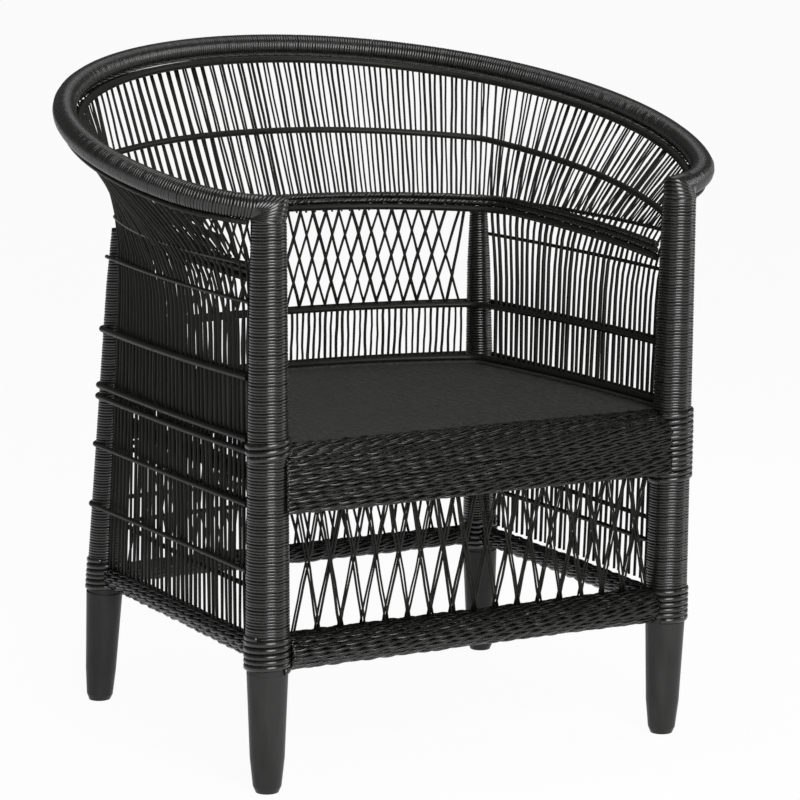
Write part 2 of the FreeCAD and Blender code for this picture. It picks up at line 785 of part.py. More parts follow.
def flare_stake_ends(layer, drop):
    """Evenly spaced lower and upper ends of one layer of flare stakes, as functions of the share."""
    base_plane = tilted(number("flare_base_height"), number("flare_base_tilt"), flare_front.y)
    lower = evenly(flare_base(layer), base_plane)
    inset = number("flare_top_inset") - layer
    upper = evenly(rim_half(inset, 0.0, 0.0), below_rim(number("flare_top_drop") + drop))
    start, corner = number("flare_top_start"), number("flare_top_corner")
    corner_base = number("flare_side_share")

    def ends(share):
        if share < corner_base:
            return pick(lower, share), pick(upper, start + (corner - start) * share / corner_base)
        return pick(lower, share), pick(upper, 1 - (1 - corner) * (1 - share) / (1 - corner_base))

    return ends


# Stakes and lattices: straight canes whose ends follow two curves, so each group is set by code

def rods(label, ends, radius_name):
    """A group of straight canes, one solid each."""
    radius = number(radius_name)
    canes = [Part.makeCylinder(radius, (b - a).Length, a, b - a) for a, b in ends]
    group = doc.addObject("Part::Feature", label)
    group.Shape = Part.makeCompound(canes)
    keep(group, label)


def shares(count):
    return [(i + 0.5) / count for i in range(count)]


side_length = (leg_axis("rear", seat_height) - leg_axis("front", seat_height)).Length
margin = number("stake_margin")
first = (bound_radius("front", seat_height) + margin) / side_length
last = 1.0 - (bound_radius("rear", seat_height) + margin) / side_length
wall_count = int((last - first) * side_length / number("wall_pitch"))
wall_ends = []
for share in shares(wall_count):
    place = first + (last - first) * share
    wall_ends.append((wall_point(place, number("wall_bottom")), wall_point(place, number("wall_top"))))
rods("right_wall_stakes", wall_ends, "stake_radius")
rods("left_wall_stakes", [(flip(a), flip(b)) for a, b in wall_ends], "stake_radius")

flare_length = Part.Wire(Part.__sortEdges__(flare_base(0.0))).Length
flare_count = int(flare_length / number("flare_pitch"))
corner_share = number("flare_corner_share")


def side_stakes(ends, shift, count, extra=0):
    """The ends of one layer of the flare on the right, and of some stakes more over the rear leg."""
    return [ends((i + shift) / count * number("flare_side_share")) for i in range(count + extra)]


def back_stakes(ends, shift):
    """The ends of one layer of the flare on the right half of the back."""
    places = [(i + shift) / flare_count for i in range(flare_count)]
    return [ends(share) for share in places if share >= corner_share]


def shortened(low, high):
    """A stake of the inner layer, which starts above the waist hoop."""
    return low + (high - low) * (number("flare_inner_lift") / (high.z - low.z)), high


def bent(low, middle, high):
    """A cane with two straight runs and a round bend between them at the middle point."""
    first = (middle - low).normalize()
    second = (high - middle).normalize()
    half_turn = first.getAngle(second) / 2
    reach = number("bend_reach")
    start, end = middle - first * reach, middle + second * reach
    radius = reach / math.tan(half_turn)
    crown = middle + (second - first).normalize() * (radius * (1 / math.cos(half_turn) - 1))
    runs = [Part.LineSegment(low, start), Part.Arc(start, crown, end), Part.LineSegment(end, high)]
    line = Part.Wire([run.toShape() for run in runs])
    section = Part.Wire([Part.makeCircle(number("side_flare_radius"), low, first)])
    return line.makePipeShell([section], True, False)


def bent_stakes(label, bends):
    """A group of bent canes, one solid each."""
    group = doc.addObject("Part::Feature", label)
    group.Shape = Part.makeCompound([bent(*points) for points in bends])
    keep(group, label)


inner_ends = flare_stake_ends(0.0, 0.0)
outer_ends = flare_stake_ends(number("flare_layer"), number("flare_layer_drop"))
inner_count = int(wall_count * number("inner_side_density"))
corner_stakes = int(number("inner_corner_stakes"))
inner_side = side_stakes(inner_ends, number("inner_side_shift"), inner_count, corner_stakes)
inner_side = [shortened(*ends) for ends in inner_side]
inner_back = [shortened(*ends) for ends in back_stakes(inner_ends, number("inner_back_shift"))]
outer_back = back_stakes(outer_ends, number("outer_back_shift"))
gap = Vector(0, 0, number("bend_gap"))
upper_runs = side_stakes(outer_ends, number("outer_side_shift"), wall_count)
outer_side = [(top + gap, bend, high) for (foot, top), (bend, high) in zip(wall_ends, upper_runs)]

rods("flare_inner_stakes_right", inner_side, "flare_stake_radius")
rods("flare_inner_stakes_left", [(flip(a), flip(b)) for a, b in inner_side], "flare_stake_radius")
for layer_name, stakes in (("inner", inner_back), ("outer", outer_back)):
    both = stakes + [(flip(a), flip(b)) for a, b in stakes]
    rods(f"flare_{layer_name}_stakes_back", both, "flare_stake_radius")
bent_stakes("flare_outer_stakes_right", outer_side)
bent_stakes("flare_outer_stakes_left", [[flip(p) for p in points] for points in outer_side])

back_span = leg_axis("rear", number("mid_ring_height")).x - bound_radius("rear", seat_height) - margin
back_count = int(2 * back_span / number("back_pitch"))
back_ends = []
for share in shares(back_count):
    x = back_span * (2 * share - 1)
    top = back_point(x, number("mid_ring_height") - number("ring_slack"))
    back_ends.append((back_point(x, seat_height + number("ring_slack")), top))
rods("back_wall_stakes", back_ends, "back_stake_radius")


def lattice(point, span, pitch, reach, layer):
    """Canes that lean by a reach to each side, in two layers that pass each other."""
    count = int(2 * span / pitch)
    ends = []
    for lean in (-1, 1):
        for i in range(count + 1):
            x = (i - count / 2) * pitch
            top_x = x + lean * reach
            if abs(top_x) <= span:
                ends.append((point(x, 0, lean * layer), point(top_x, 1, lean * layer)))
    return ends


def back_lattice_point(x, end, layer):
    level = number("back_lattice_top") if end else number("mid_ring_height") + number("ring_slack")
    return back_point(x, level, layer)


def skirt_lattice_point(x, end, layer):
    below_rail = seat_height - number("back_rail_radius") - number("ring_slack")
    return back_point(x, below_rail if end else number("wall_bottom"), layer)


pitch, reach = number("back_lattice_pitch"), number("back_lattice_lean")
back_canes = lattice(back_lattice_point, back_span, pitch, reach, number("back_layer"))
skirt_canes = lattice(skirt_lattice_point, back_span, pitch, reach, number("skirt_layer"))
rods("back_lattice", back_canes, "lattice_radius")
rods("skirt_lattice", skirt_canes, "lattice_radius")

low_top = number("low_rail_height") + number("low_front_band")
front_span = leg_axis("front", low_top).x - bound_radius("front", low_top) - margin


def front_lattice_point(x, end, layer):
    """Canes run from the twined band's top to the back of the apron's rod."""
    if end:
        top_y = rod_y + number("apron_rod_radius") + number("front_layer") + 2 * number("lattice_radius")
        return Vector(x, top_y + layer, rod_height)
    return Vector(x, leg_axis("front", low_top).y + layer, low_top + number("front_lattice_gap"))


pairs = []
half_gap = Vector(number("cane_pair_gap") / 2, 0, 0)
pitch, reach = number("front_lattice_pitch"), number("front_lattice_lean")
for low, high in lattice(front_lattice_point, front_span, pitch, reach, number("front_layer")):
    pairs += [(low - half_gap, high - half_gap), (low + half_gap, high + half_gap)]
rods("front_lattice", pairs, "lattice_radius")

# Seat

warp_height = seat_height + number("back_rail_radius") + number("warp_radius") + number("clearance")
warp_rise = warp_height - number("warp_radius") - seat_height
half_chord = math.sqrt(number("front_rail_radius") ** 2 - warp_rise ** 2)
warp_front = front_axis.y + half_chord + number("clearance")
warp_ends = []
warp_span = number("seat_half_width") - number("warp_margin")
warp_gaps = int(2 * warp_span / number("warp_pitch"))
for i in range(warp_gaps + 1):
    x = (i - warp_gaps / 2) * number("warp_pitch")
    back = back_point(x, seat_height).y - number("stake_radius") - number("warp_end_gap")
    if abs(x) > rail_end.x - bound_radius("rear", seat_height) - number("warp_radius"):
        back = rail_end.y - bound_radius("rear", seat_height) - number("warp_end_gap")
    warp_ends.append((Vector(x, warp_front, warp_height), Vector(x, back, warp_height)))
rods("seat_warp_canes", warp_ends, "warp_radius")


def padded_sketch(label, plane_role, edges, length, offset):
    """A body padded from a closed outline that is drawn from the places of other pieces."""
    body = doc.addObject("PartDesign::Body", label + "_body")
    plane = [o for o in body.Origin.OriginFeatures if o.Role == plane_role][0]
    sketch = body.newObject("Sketcher::SketchObject", label + "_outline")
    sketch.AttachmentSupport = [(plane, "")]
    sketch.MapMode = "FlatFace"
    sketch.AttachmentOffset = Placement(Vector(0, 0, offset), Rotation())
    for edge in edges:
        sketch.addGeometry(edge)
    pad = body.newObject("PartDesign::Pad", label + "_pad")
    pad.Profile = sketch
    pad.Length = length.value
    if length.expression:
        pad.setExpression("Length", length.expression)
    return body


def lines_through(points):
    """Straight sketch lines from each point to the next."""
    return [Part.LineSegment(a, b) for a, b in zip(points, points[1:])]


weave_low = warp_height + number("warp_radius") + number("weave_gap")
weave_front = front_axis.y + number("weave_setback")
edge_gap = number("weave_edge_gap")
half_width = number("seat_half_width")
front_notch = front_axis.x - bound_radius("front", weave_low) - edge_gap
front_step = front_axis.y + bound_radius("front", weave_low) + edge_gap
front_corner = [Vector(front_notch, weave_front, 0), Vector(front_notch, front_step, 0),
                Vector(half_width, front_step, 0)]
side_middle = Vector(number("seat_side_x"), number("seat_side_y"), 0)
rear_corner = [Vector(number("seat_rear_x"), number("seat_rear_y"), 0),
               Vector(number("seat_corner_x"), number("seat_corner_y"), 0)]
weave_back = Vector(0, number("seat_back_y"), 0)
outline = lines_through(front_corner)
outline.append(Part.Arc(front_corner[-1], side_middle, rear_corner[0]))
outline += lines_through(rear_corner)
outline.append(Part.Arc(rear_corner[-1], weave_back, flip(rear_corner[-1])))
outline += lines_through([flip(p) for p in reversed(rear_corner)])
outline.append(Part.Arc(flip(rear_corner[0]), flip(side_middle), flip(front_corner[-1])))
outline += lines_through([flip(p) for p in reversed(front_corner)])
outline.append(Part.LineSegment(flip(front_corner[0]), front_corner[0]))
keep(padded_sketch("seat_weave", "XY_Plane", outline, size("weave_thickness"), weave_low), "seat_weave")

inner_roll = number("front_rail_radius") + number("clearance")
outer_roll = inner_roll + number("weave_thickness")
roll_y, roll_z = front_axis.y, seat_height


def roll(radius, angle):
    return Vector(roll_y + radius * math.cos(math.radians(angle)),
                  roll_z + radius * math.sin(math.radians(angle)), 0)


apron_end = weave_front - number("clearance")
apron_low = number("apron_bottom")
apron_points = [roll(inner_roll, 90), Vector(apron_end, roll_z + inner_roll, 0),
                Vector(apron_end, roll_z + outer_roll, 0), roll(outer_roll, 90)]
apron = lines_through(apron_points)
apron.append(Part.Arc(roll(outer_roll, 90), roll(outer_roll, 135), roll(outer_roll, 180)))
apron += lines_through([roll(outer_roll, 180), Vector(roll_y - outer_roll, apron_low, 0),
                       Vector(roll_y - inner_roll, apron_low, 0), roll(inner_roll, 180)])
apron.append(Part.Arc(roll(inner_roll, 180), roll(inner_roll, 135), roll(inner_roll, 90)))
apron_length = 2 * (front_notch - edge_gap)
apron_body = padded_sketch("front_apron", "YZ_Plane", apron, fixed(apron_length), -apron_length / 2)
keep(apron_body, "front_apron")

# Fasteners

for label, pieces in (("rail_nails", nails), ("rim_dowels", dowels)):
    group = doc.addObject("Part::Compound", label)
    group.Links = pieces
    keep(group, label)

# Checks and files

doc.recompute()
for obj in doc.Objects:
    if "Invalid" in obj.State or "Error" in obj.State:
        raise RuntimeError(f"{obj.Label} did not compute: {obj.State}")
for obj in parts:
    if obj.Shape.isNull() or not obj.Shape.isValid():
        raise RuntimeError(f"{obj.Label} has no valid shape")
    if not obj.Shape.Solids:
        raise RuntimeError(f"{obj.Label} has no solid")
os.makedirs("parts", exist_ok=True)
for obj in parts:
    obj.Shape.exportStep(f"parts/{obj.Label}.step")
box = Part.makeCompound([obj.Shape for obj in parts]).BoundBox
print(f"{len(parts)} sub-parts, {sum(len(obj.Shape.Solids) for obj in parts)} solids")
print(f"x {box.XMin:.1f} {box.XMax:.1f}  y {box.YMin:.1f} {box.YMax:.1f}  z {box.ZMin:.1f} {box.ZMax:.1f}")
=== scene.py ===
import json
import math

import bpy
import numpy as np
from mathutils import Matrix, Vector
from mathutils.bvhtree import BVHTree


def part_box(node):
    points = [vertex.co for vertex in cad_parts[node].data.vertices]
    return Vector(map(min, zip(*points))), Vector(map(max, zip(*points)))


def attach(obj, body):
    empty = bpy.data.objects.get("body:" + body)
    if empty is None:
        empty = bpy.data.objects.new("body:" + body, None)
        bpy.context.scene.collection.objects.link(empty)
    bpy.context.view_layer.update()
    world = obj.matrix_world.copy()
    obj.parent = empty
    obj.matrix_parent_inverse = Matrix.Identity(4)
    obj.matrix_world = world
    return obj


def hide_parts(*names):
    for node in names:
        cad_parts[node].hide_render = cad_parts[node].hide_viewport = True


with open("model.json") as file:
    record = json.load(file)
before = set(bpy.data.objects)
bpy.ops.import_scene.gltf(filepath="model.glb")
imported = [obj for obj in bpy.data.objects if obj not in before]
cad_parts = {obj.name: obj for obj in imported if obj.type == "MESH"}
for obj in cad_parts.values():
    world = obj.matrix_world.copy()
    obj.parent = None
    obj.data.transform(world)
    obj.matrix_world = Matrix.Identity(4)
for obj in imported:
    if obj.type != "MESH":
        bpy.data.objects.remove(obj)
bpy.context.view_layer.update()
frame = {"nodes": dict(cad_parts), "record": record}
nodes = frame["nodes"]
chance = np.random.default_rng(7)

# Sizes, in metres. The frame is the CAD's: +Z up, the front faces -Y.

ARM_HEIGHT = 0.630
BRAID_HEIGHT = 0.133
BRAID_TOP = 0.173
SHOULDER_HEIGHT = 0.500
WRAP_PITCH = 0.00325
WRAP_WIDE = 0.0017  # half the width of a wound cane
WRAP_THICK = 0.0009  # half its thickness
WRAP_DEPTH = 0.0025  # depth of the CAD's plain sleeve on a leg
LEGS = {
    "front": {"foot": (0.251, -0.265), "lean": (0.002, -0.0185), "top": 0.630, "wrap_top": 0.6155,
              "radii": (0.0220, 0.0180, 0.0163)},
    "rear": {"foot": (0.262, 0.175), "lean": (-0.026, -0.036), "top": 0.566, "wrap_top": 0.566,
             "radii": (0.0195, 0.0120, 0.0085)},
}
SIDES = {"left": -1, "right": 1}
RIM_RADIUS = 0.0135
RIM_PITCH = 0.0032
ROPE_TWIST = 0.0190
LOW_RAIL_HEIGHT = 0.153
ROW_PITCH = 0.0047
TWINE_PERIOD = 0.042
SEAT_WARP = 0.013
SEAT_WEFT = 0.0027


# Meshes

def unit(vectors):
    return vectors / np.maximum(np.linalg.norm(vectors, axis=-1, keepdims=True), 1e-12)


def make_piece(name, verts, faces, material, replaced=(), smooth=True):
    """A mesh object on the root body. Faces is a list of index arrays, one array per face size."""
    mesh = bpy.data.meshes.new(name)
    mesh.vertices.add(len(verts))
    mesh.vertices.foreach_set("co", np.asarray(verts, np.float32).ravel())
    loops = np.concatenate([f.ravel() for f in faces])
    totals = np.concatenate([np.full(len(f), f.shape[1]) for f in faces])
    starts = np.concatenate([[0], np.cumsum(totals)[:-1]])
    mesh.loops.add(len(loops))
    mesh.loops.foreach_set("vertex_index", loops.astype(np.int32))
    mesh.polygons.add(len(totals))
    mesh.polygons.foreach_set("loop_start", starts.astype(np.int32))
    mesh.polygons.foreach_set("loop_total", totals.astype(np.int32))
    mesh.polygons.foreach_set("use_smooth", np.full(len(totals), smooth))
    mesh.update(calc_edges=True)
    mesh.validate()
    mesh.materials.append(material)
    piece = bpy.data.objects.new(name, mesh)
    bpy.context.scene.collection.objects.link(piece)
    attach(piece, "root")
    if replaced:
        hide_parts(*replaced)
    return piece


class Strands:
    """Canes gathered into one mesh, each swept along its own line with an oval section."""

    def __init__(self):
        self.verts = []
        self.quads = []
        self.caps = []
        self.count = 0

    def add(self, lines, outward, wide, thick, sides=6):
        """Adds canes along lines, an array of (canes, points, 3). Wide is half the width of the section
        and thick half its depth along outward."""
        lines = np.asarray(lines, float)
        canes, length = lines.shape[:2]
        tangent = unit(np.gradient(lines, axis=1))
        across = unit(np.cross(tangent, np.broadcast_to(outward, lines.shape)))
        outward = np.cross(across, tangent)
        angles = np.arange(sides) * 2 * math.pi / sides + math.pi / sides
        wide = np.broadcast_to(wide, (canes, length))[..., None, None]
        thick = np.broadcast_to(thick, (canes, length))[..., None, None]
        ring = (across[:, :, None] * np.sin(angles)[:, None] * wide
                + outward[:, :, None] * np.cos(angles)[:, None] * thick)
        verts = lines[:, :, None] + ring
        index = self.count + np.arange(canes * length * sides).reshape(canes, length, sides)
        turned = np.roll(index, -1, axis=2)
        quads = np.stack([index[:, :-1], turned[:, :-1], turned[:, 1:], index[:, 1:]], axis=-1)
        self.verts.append(verts.reshape(-1, 3))
        self.quads.append(quads.reshape(-1, 4))
        self.caps.append(index[:, 0, ::-1])
        self.caps.append(index[:, -1])
        self.count += canes * length * sides

    def piece(self, name, material, slot, replaced=()):
        faces = [np.concatenate(self.quads)] + self.caps
        return make_piece(name, np.concatenate(self.verts), faces, material, replaced)


def even(line, count):
    """The same line with evenly spaced points."""
    steps = np.concatenate([[0], np.cumsum(np.linalg.norm(np.diff(line, axis=0), axis=1))])
    wanted = np.linspace(0, steps[-1], count)
    return np.stack([np.interp(wanted, steps, line[:, k]) for k in range(3)], axis=1)


def length_of(line):
    return np.linalg.norm(np.diff(line, axis=0), axis=1).sum()


def wander(canes, points, size, waves=(1.0, 2.3, 4.1)):
    """A smooth random drift along each cane."""
    along = np.linspace(0, 1, points)
    drift = np.zeros((canes, points))
    for wave in waves:
        phase = chance.uniform(0, 2 * math.pi, (canes, 1))
        drift += np.sin(2 * math.pi * wave * along + phase) * (waves[0] / wave)
    return drift * size / 1.5


# Places read from the frame

def node_mesh(name):
    """Points and faces of a CAD node."""
    mesh = nodes[name].data
    points = np.zeros(len(mesh.vertices) * 3)
    mesh.vertices.foreach_get("co", points)
    faces = [tuple(p.vertices) for p in mesh.polygons]
    return points.reshape(-1, 3), faces


def solids(name):
    """The points of each separate solid in a CAD node."""
    points, faces = node_mesh(name)
    keys = {}
    group = []
    for p in np.round(points, 6):
        group.append(keys.setdefault(tuple(p), len(keys)))
    parent = list(range(len(keys)))

    def root(i):
        while parent[i] != i:
            parent[i] = parent[parent[i]]
            i = parent[i]
        return i

    for face in faces:
        first = root(group[face[0]])
        for other in face[1:]:
            parent[root(group[other])] = first
    islands = {}
    for place, g in zip(keys, range(len(keys))):
        islands.setdefault(root(g), []).append(place)
    return [np.array(members) for members in islands.values()]


def rods(name):
    """The two ends of each straight cane in a node."""
    ends = []
    for cloud in solids(name):
        middle = cloud.mean(axis=0)
        axis = np.linalg.svd(cloud - middle, full_matrices=False)[2][0]
        axis *= math.copysign(1.0, axis[2] if abs(axis[2]) > 0.3 else axis[0])
        place = (cloud - middle) @ axis
        ends.append((middle + axis * place.min(), middle + axis * place.max()))
    return np.array(ends)


def bent_rods(name):
    """The lower end, the bend and the upper end of each bent cane in a node."""
    near = 0.004
    knots = []
    for cloud in solids(name):
        z = cloud[:, 2]
        low, high = z < z.min() + near, z > z.max() - near
        knots.append([cloud[low].mean(axis=0), cloud[~low & ~high].mean(axis=0), cloud[high].mean(axis=0)])
    return np.array(knots)


def tree_of(name):
    points, faces = node_mesh(name)
    return BVHTree.FromPolygons([Vector(p) for p in points], faces)


def centre_line(name, count):
    """Evenly spaced points along a bent cane that goes round the chair, from the right front to the
    left front, found by looking outwards from the middle in the cane's own plane."""
    points = node_mesh(name)[0]
    middle = points.mean(axis=0)
    normal = np.linalg.svd(points - middle, full_matrices=False)[2][2]
    normal *= math.copysign(1.0, normal[2])
    right = unit(np.array([1.0, 0.0, 0.0]) - normal * normal[0])
    ahead = np.cross(normal, right)
    eye = middle - right * middle[0]
    flat = points - eye
    turn = np.arctan2(flat @ ahead, flat @ right)
    turn = np.where(turn < -math.pi / 2, turn + 2 * math.pi, turn)
    tree = tree_of(name)
    line = []
    for angle in np.linspace(turn.min() + 0.002, turn.max() - 0.002, 4 * count):
        way = Vector(right * math.cos(angle) + ahead * math.sin(angle))
        near = tree.ray_cast(Vector(eye), way)[0]
        far = tree.ray_cast(Vector(eye) + way * 2.0, -way)[0]
        if near is not None and far is not None:
            line.append((near + far) / 2)
    return even(np.array([tuple(p) for p in line]), count), normal


def leg_axis(kind, side, height):
    """Places on a leg's axis at some heights."""
    leg = LEGS[kind]
    share = np.asarray(height) / ARM_HEIGHT
    x = side * (leg["foot"][0] + share * leg["lean"][0])
    y = leg["foot"][1] + share * leg["lean"][1]
    return np.stack([x, y, np.asarray(height) + 0 * x], axis=-1)


def pole_radius(kind, height):
    """A leg's radius under its binding."""
    leg = LEGS[kind]
    return np.interp(height, (BRAID_HEIGHT, SHOULDER_HEIGHT, leg["top"]), leg["radii"])


# Materials

def cane_material(name, dark, light, rough, grain=(60, 60, 60), gloss=0.18, bump_depth=0.0004):
    """Black stained cane: a tone that drifts between two colours, fine grain and a satin sheen."""
    material = bpy.data.materials.new(name)
    material.use_nodes = True
    tree = material.node_tree
    shader = tree.nodes["Principled BSDF"]
    shader.inputs["Specular IOR Level"].default_value = gloss
    place = tree.nodes.new("ShaderNodeTexCoord")
    scale = tree.nodes.new("ShaderNodeMapping")
    scale.inputs["Scale"].default_value = grain
    tree.links.new(place.outputs["Object"], scale.inputs["Vector"])
    tone = tree.nodes.new("ShaderNodeTexNoise")
    tone.inputs["Scale"].default_value = 4.0
    tone.inputs["Detail"].default_value = 4.0
    tree.links.new(scale.outputs["Vector"], tone.inputs["Vector"])
    colour = tree.nodes.new("ShaderNodeValToRGB")
    colour.color_ramp.elements[0].position = 0.3
    colour.color_ramp.elements[1].position = 0.72
    colour.color_ramp.elements[0].color = (*dark, 1)
    colour.color_ramp.elements[1].color = (*light, 1)
    tree.links.new(tone.outputs["Fac"], colour.inputs["Fac"])
    tree.links.new(colour.outputs["Color"], shader.inputs["Base Color"])
    shine = tree.nodes.new("ShaderNodeMapRange")
    shine.inputs["From Min"].default_value = 0.3
    shine.inputs["From Max"].default_value = 0.7
    shine.inputs["To Min"].default_value = rough[0]
    shine.inputs["To Max"].default_value = rough[1]
    tree.links.new(tone.outputs["Fac"], shine.inputs["Value"])
    tree.links.new(shine.outputs["Result"], shader.inputs["Roughness"])
    fine = tree.nodes.new("ShaderNodeTexNoise")
    fine.inputs["Scale"].default_value = 22.0
    fine.inputs["Detail"].default_value = 3.0
    tree.links.new(scale.outputs["Vector"], fine.inputs["Vector"])
    bump = tree.nodes.new("ShaderNodeBump")
    bump.inputs["Strength"].default_value = 0.12
    bump.inputs["Distance"].default_value = bump_depth
    tree.links.new(fine.outputs["Fac"], bump.inputs["Height"])
    tree.links.new(bump.outputs["Normal"], shader.inputs["Normal"])
    return material


wrap_cane = cane_material("wrap_cane", (0.003, 0.003, 0.0026), (0.009, 0.009, 0.0081),
                          (0.20, 0.32), gloss=0.67)
stake_cane = cane_material("stake_cane", (0.002, 0.002, 0.0017), (0.012, 0.012, 0.0095),
                           (0.40, 0.60), (90, 90, 6))
hoop_cane = cane_material("hoop_cane", (0.004, 0.004, 0.0034), (0.013, 0.013, 0.0105), (0.36, 0.52))
twined_cane = cane_material("twined_cane", (0.0010, 0.0010, 0.0008), (0.007, 0.007, 0.0058),
                            (0.10, 0.32), gloss=0.46)
weave_cane = cane_material("weave_cane", (0.014, 0.014, 0.0127), (0.035, 0.035, 0.0318), (0.5, 0.68))
pole_wood = cane_material("pole_wood", (0.020, 0.020, 0.0195), (0.032, 0.032, 0.0315),
                          (0.34, 0.46), (20, 20, 4))
hidden_wood = cane_material("hidden_wood", (0.003, 0.003, 0.003), (0.009, 0.009, 0.009), (0.5, 0.7))

SLOT_MATERIALS = {"pole": pole_wood, "core": hidden_wood, "binding": wrap_cane, "band": twined_cane,
                  "hoop": hoop_cane, "cane": stake_cane, "weave": weave_cane, "apron": twined_cane,
                  "nail": hidden_wood, "dowel": hidden_wood}
for entry in frame["record"]["subparts"]:
    mesh = nodes[entry["node"]].data
    mesh.materials.clear()
    mesh.materials.append(SLOT_MATERIALS[entry["material_slot"]])


# Leg bindings: one cane wound round each pole, with a thicker braid where it starts and a few thick
# turns beside the apron

def leg_turns(strands, kind, side, low, high, pitch, wide, thick, outset=0.0, slant=0.0, per_turn=22):
    """Winds a cane round a leg between two heights."""
    turns = (high - low) / pitch
    points = int(turns * per_turn) + 2
    angle = np.linspace(0, turns * 2 * math.pi, points) + chance.uniform(0, 2 * math.pi)
    height = np.linspace(low, high, points)
    round_leg = np.stack([np.cos(angle), np.sin(angle), 0 * angle], axis=-1)
    drift = wander(1, points, pitch * 0.07, waves=(turns / 3.1, turns / 1.7, turns / 5.3))[0]
    swell = 1 + wander(1, points, 0.05, waves=(turns / 2.3, turns / 4.7, turns / 1.3))[0]
    radius = pole_radius(kind, height) + thick + outset
    line = leg_axis(kind, side, height) + round_leg * radius[:, None]
    line[:, 2] += drift + slant * np.cos(angle)
    strands.add(line[None], round_leg[None], wide * swell, thick, sides=8)


BRAID = {"pitch": 0.0064, "wide": 0.0033, "thick": 0.0021}
BRAID_START = BRAID_HEIGHT + 0.003
LASHING = {"pitch": 0.0060, "wide": 0.0031, "thick": 0.0018, "outset": WRAP_DEPTH - 0.0006, "slant": 0.002}
LASHING_HEIGHTS = {"left": (0.368, 0.384), "right": (0.298, 0.376)}
for kind in LEGS:
    for name, side in SIDES.items():
        binding = Strands()
        leg_turns(binding, kind, side, BRAID_TOP, LEGS[kind]["wrap_top"], WRAP_PITCH, WRAP_WIDE, WRAP_THICK,
                  outset=WRAP_DEPTH - 2 * WRAP_THICK)
        leg_turns(binding, kind, side, BRAID_START, BRAID_TOP, **BRAID)
        if kind == "front":
            leg_turns(binding, kind, side, *LASHING_HEIGHTS[name], **LASHING)
        binding.piece(f"{kind}_{name}_wrap", wrap_cane, "binding", [f"{kind}_{name}_binding"])

# Rim binding: one cane wound round the bent pole, and a fan of canes over each corner with a leg

RIM_PER_TURN = 16
RIM_WIDE = RIM_PITCH * 0.58
LEG_TOP_RADIUS = LEGS["front"]["radii"][2] + WRAP_DEPTH
rim_line, rim_normal = centre_line("rim_core", 2000)
rim_step = length_of(rim_line) / (len(rim_line) - 1)
leg_points = {}
for name, side in SIDES.items():
    leg_top = leg_axis("front", side, ARM_HEIGHT)
    leg_points[name] = np.linalg.norm((rim_line - leg_top)[:, :2], axis=1).argmin()
clear_points = int(LEG_TOP_RADIUS * 0.7 / rim_step)
bound_line = rim_line[leg_points["right"] + clear_points:leg_points["left"] - clear_points]
rim_turns = length_of(bound_line) / RIM_PITCH
points = int(rim_turns * RIM_PER_TURN)
rim_path = even(bound_line, points)
rim_along = unit(np.gradient(rim_path, axis=0))
rim_out = unit(np.cross(rim_along, rim_normal))
angle = np.linspace(0, rim_turns * 2 * math.pi, points)
round_rim = rim_out * np.cos(angle)[:, None] + rim_normal * np.sin(angle)[:, None]
drift = wander(1, points, RIM_PITCH * 0.06, waves=(rim_turns / 3.3, rim_turns / 1.9, rim_turns / 6.1))[0]
coil = rim_path + round_rim * (RIM_RADIUS - WRAP_THICK) + rim_along * drift[:, None]
swell = 1 + wander(1, points, 0.05, waves=(rim_turns / 2.1, rim_turns / 4.3, rim_turns / 1.2))[0]
binding = Strands()
binding.add(coil[None], round_rim[None], RIM_WIDE * swell, WRAP_THICK, sides=8)

FAN_CANES = 13
FAN_WIDE = 0.0030
for name, way in (("right", 1), ("left", -1)):
    meet = rim_line[leg_points[name]]
    inwards = unit(rim_line[leg_points[name] + way * 3 * clear_points] - meet)
    sideways = unit(np.cross(inwards, (0.0, 0.0, 1.0)))
    upwards = np.cross(sideways, inwards)
    rim_reach, leg_reach = RIM_RADIUS - WRAP_THICK, LEG_TOP_RADIUS - WRAP_THICK
    inner = meet + inwards * leg_reach - upwards * rim_reach
    outline = even(np.array([meet + inwards * leg_reach + upwards * rim_reach,
                             meet - inwards * leg_reach + upwards * rim_reach,
                             meet - inwards * leg_reach - upwards * rim_reach]), FAN_CANES)
    turn = np.linspace(math.pi, 3 * math.pi, 33)
    for share, outer in zip(np.linspace(0, 1, FAN_CANES), outline):
        half_width = rim_reach + (leg_reach - rim_reach) * share
        loop = ((inner + outer) / 2 + np.cos(turn)[:, None] * (outer - inner) / 2
                + np.sin(turn)[:, None] * sideways * half_width)
        outward = loop - (inner + outer) / 2
        binding.add(loop[None], outward[None], FAN_WIDE * (0.65 + 0.35 * np.cos(turn)), WRAP_THICK, sides=8)
binding.piece("rim_wrap", wrap_cane, "binding", ["rim_binding"])


# Stakes and lattices: uneven split canes

def uneven(strands, lines, radii, bow, points=9, sides=6):
    """Draws canes along lines of knots, each a little crooked and of its own thickness. Radii are those
    at even steps from end to end."""
    canes = np.array([even(np.asarray(line), points) for line in lines])
    for _ in range(2 if len(lines[0]) > 2 else 0):
        canes[:, 1:-1] = (canes[:, :-2] + 2 * canes[:, 1:-1] + canes[:, 2:]) / 4
    chord = unit(canes[:, -1] - canes[:, 0])
    first = unit(np.cross(chord, (0.36, 0.93, 0.05)))
    second = np.cross(chord, first)
    count = len(canes)
    for direction in (first, second):
        canes += direction[:, None] * wander(count, points, bow)[..., None]
    steps = np.linspace(0, 1, len(radii))
    thickness = np.interp(np.linspace(0, 1, points), steps, radii) * chance.uniform(0.82, 1.18, (count, 1))
    thickness = thickness * (1 + wander(count, points, 0.06))
    strands.add(canes, second[:, None], thickness, thickness * chance.uniform(0.8, 1.0, (count, 1)), sides)


